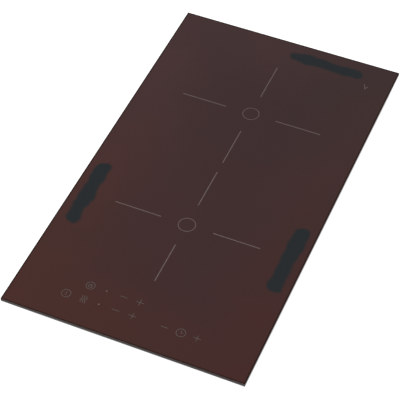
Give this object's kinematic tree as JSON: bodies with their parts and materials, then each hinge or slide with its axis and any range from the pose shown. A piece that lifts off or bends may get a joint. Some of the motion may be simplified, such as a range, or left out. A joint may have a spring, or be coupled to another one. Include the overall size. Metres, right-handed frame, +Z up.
{
  "type": "built-in induction cooktop",
  "caption": "Built-in induction cooktop: a flat tinted glass plate over a steel frame and tray with coils, boards, a blower and a mains terminal box inside.",
  "frame": {"origin": "on the resting plane, under the centre of the glass plate", "axes": "+X to the right, +Y to the back, +Z up, as the cook in front of the hob sees it"},
  "size_m": [0.29, 0.52, 0.048],
  "materials": {
    "hob_glass": "gloss",
    "foam_seal": "matte",
    "silicone": "satin",
    "galvanised_steel": "satin",
    "aluminium_sheet": "satin",
    "spring_steel": "satin",
    "zinc_screw": "satin",
    "former_plastic": "matte",
    "copper_litz": "satin",
    "ferrite": "matte",
    "mica": "satin",
    "sensor_ceramic": "matte",
    "board_green": "satin",
    "insulating_sheet": "matte",
    "component_black": "satin",
    "component_blue": "satin",
    "component_yellow": "satin",
    "housing_plastic": "satin",
    "terminal_plastic": "satin",
    "light_guide": "satin",
    "grommet_rubber": "matte",
    "lead_insulation": "satin",
    "ribbon_grey": "satin"
  },
  "bodies": {
    "housing": {"board_sheet": "insulating_sheet", "bottom_tray": "galvanised_steel", "bridge_rectifier": "component_black", "cable_grommet": "grommet_rubber", "carrier_frame": "galvanised_steel", "coil_bridge": "aluminium_sheet", "control_ribbon": "ribbon_grey", "fan_housing": "housing_plastic", "fan_motor": "component_black", "filter_capacitor": "component_yellow", "filter_choke": "copper_litz", "front_coil_former": "former_plastic", "front_coil_lead": "lead_insulation", "front_coil_winding": "copper_litz", "front_ferrite_star": "ferrite", "front_left_clip_screw": "zinc_screw", "front_left_tray_screw": "zinc_screw", "front_mica_sheet": "mica", "front_resonant_capacitor": "component_blue", "front_right_clip_screw": "zinc_screw", "front_right_tray_screw": "zinc_screw", "front_sensor_spring": "spring_steel", "front_zone_igbt": "component_black", "glass_plate": "hob_glass", "heat_sink": "aluminium_sheet", "left_bond_pad": "silicone", "light_guide": "light_guide", "link_capacitor": "component_blue", "mains_relay": "component_black", "power_board": "board_green", "rating_plate": "aluminium_sheet", "rear_bond_pad": "silicone", "rear_coil_former": "former_plastic", "rear_coil_lead": "lead_insulation", "rear_coil_winding": "copper_litz", "rear_ferrite_star": "ferrite", "rear_left_clip_screw": "zinc_screw", "rear_left_tray_screw": "zinc_screw", "rear_mica_sheet": "mica", "rear_resonant_capacitor": "component_blue", "rear_right_clip_screw": "zinc_screw", "rear_right_tray_screw": "zinc_screw", "rear_sensor_spring": "spring_steel", "rear_zone_igbt": "component_black", "right_bond_pad": "silicone", "supply_transformer": "component_yellow", "terminal_block": "terminal_plastic", "terminal_box": "housing_plastic", "touch_board": "board_green", "touch_carrier": "housing_plastic", "worktop_seal": "foam_seal"},
    "fan_rotor": {"fan_rotor": "housing_plastic"},
    "terminal_cover": {"terminal_cover": "housing_plastic"},
    "rear_pan_sensor": {"rear_pan_sensor": "sensor_ceramic"},
    "front_pan_sensor": {"front_pan_sensor": "sensor_ceramic"},
    "front_left_clip": {"front_left_clip": "spring_steel"},
    "front_right_clip": {"front_right_clip": "spring_steel"},
    "rear_left_clip": {"rear_left_clip": "spring_steel"},
    "rear_right_clip": {"rear_right_clip": "spring_steel"}
  },
  "joints": [
    {"name": "fan_spin", "type": "hinge", "parent": "housing", "child": "fan_rotor", "pos_m": [-0.076, 0.1877, 0.012], "axis": [0, 0, 1], "continuous": true},
    {"name": "terminal_cover_hinge", "type": "hinge", "parent": "housing", "child": "terminal_cover", "pos_m": [0.09, 0.245, 0.0264], "axis": [1, 0, 0], "range_deg": [0, 90]},
    {"name": "rear_sensor_slide", "type": "slide", "parent": "housing", "child": "rear_pan_sensor", "axis": [0, 0, -1], "range_m": [0, 0.0015], "stiffness_N_per_m": 1300, "springref_m": -0.002, "deforming": ["rear_sensor_spring"]},
    {"name": "front_sensor_slide", "type": "slide", "parent": "housing", "child": "front_pan_sensor", "axis": [0, 0, -1], "range_m": [0, 0.0015], "stiffness_N_per_m": 1300, "springref_m": -0.002, "deforming": ["front_sensor_spring"]},
    {"name": "front_left_clip_flex", "type": "hinge", "parent": "housing", "child": "front_left_clip", "pos_m": [-0.1325, -0.15, 0.036], "axis": [0, -1, 0], "range_deg": [0, 5], "stiffness_Nm_per_rad": 9.6},
    {"name": "front_right_clip_flex", "type": "hinge", "parent": "housing", "child": "front_right_clip", "pos_m": [0.1325, -0.15, 0.036], "axis": [0, 1, 0], "range_deg": [0, 5], "stiffness_Nm_per_rad": 9.6},
    {"name": "rear_left_clip_flex", "type": "hinge", "parent": "housing", "child": "rear_left_clip", "pos_m": [-0.1325, 0.15, 0.036], "axis": [0, -1, 0], "range_deg": [0, 5], "stiffness_Nm_per_rad": 9.6},
    {"name": "rear_right_clip_flex", "type": "hinge", "parent": "housing", "child": "rear_right_clip", "pos_m": [0.1325, 0.15, 0.036], "axis": [0, 1, 0], "range_deg": [0, 5], "stiffness_Nm_per_rad": 9.6}
  ]
}
